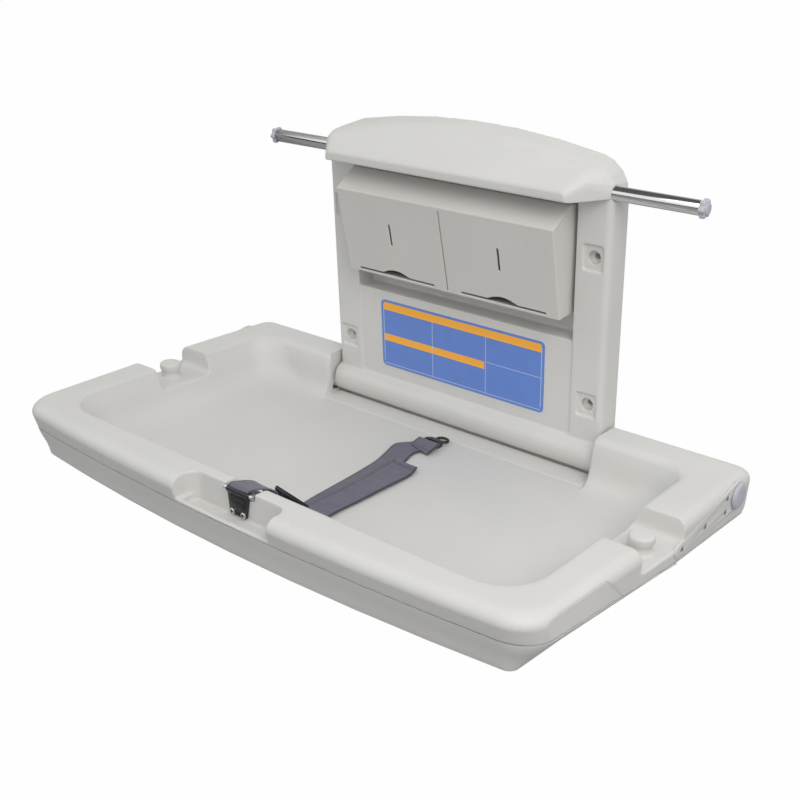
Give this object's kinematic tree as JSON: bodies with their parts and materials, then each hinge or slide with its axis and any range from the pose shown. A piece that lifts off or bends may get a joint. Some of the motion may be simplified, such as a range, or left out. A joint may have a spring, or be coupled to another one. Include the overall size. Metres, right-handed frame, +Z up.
{
  "type": "baby changing station",
  "caption": "Wall-mounted fold-down baby changing station: moulded bed with a basin, safety strap and bag posts, hinged on a back plate with a liner dispenser and a bag rail.",
  "frame": {"origin": "on the wall plane, in the mid-plane, near the height of the bed's hinge", "axes": "+X to the object's right as seen from the room, +Y into the wall, +Z up"},
  "size_m": [0.8588, 0.5008, 0.4436],
  "materials": {
    "shell": "fine-grained moulded polyethylene, warm light grey",
    "cover": "fine-grained moulded plastic, slightly darker grey",
    "steel": "bright zinc or stainless",
    "rail": "polished stainless tube",
    "cap": "pale moulded plastic",
    "nylon": "natural nylon",
    "black": "black moulded plastic",
    "webbing": "woven grey-violet webbing"
  },
  "bodies": {
    "wall_unit": {"dispenser_cover": "cover", "dispenser_pivot_left": "steel", "dispenser_pivot_right": "steel", "hanger_rod": "rail", "hinge_pin_left": "steel", "hinge_pin_right": "steel", "rod_cap_left": "cap", "rod_cap_right": "cap", "wall_plate": "shell"},
    "bed": {"bed_pan": "shell", "bed_tray": "shell", "bracket_screw_left": "steel", "bracket_screw_right": "steel", "cam_buckle": "black", "damper_left": "black", "damper_right": "black", "hinge_bush_inner_left": "nylon", "hinge_bush_inner_right": "nylon", "hinge_bush_outer_left": "nylon", "hinge_bush_outer_right": "nylon", "pan_screw_1": "steel", "pan_screw_2": "steel", "pan_screw_3": "steel", "pan_screw_4": "steel", "pan_screw_5": "steel", "pan_screw_6": "steel", "pan_screw_7": "steel", "pan_screw_8": "steel", "pivot_cap_left": "cap", "pivot_cap_right": "cap", "roller_bar": "steel", "side_cover_left": "shell", "side_cover_right": "shell", "side_cover_screw_1_left": "steel", "side_cover_screw_1_right": "steel", "side_cover_screw_2_left": "steel", "side_cover_screw_2_right": "steel", "side_cover_screw_3_left": "steel", "side_cover_screw_3_right": "steel", "side_cover_screw_4_left": "steel", "side_cover_screw_4_right": "steel", "strap_bracket": "black", "strap_clip": "black", "strap_front": "webbing", "strap_main": "webbing", "strap_tail": "webbing"}
  },
  "joints": [
    {"name": "bed_fold", "type": "hinge", "parent": "wall_unit", "child": "bed", "pos_m": [0, -0.05, -0.008], "axis": [-1, 0, 0], "range_deg": [0, 83]}
  ]
}
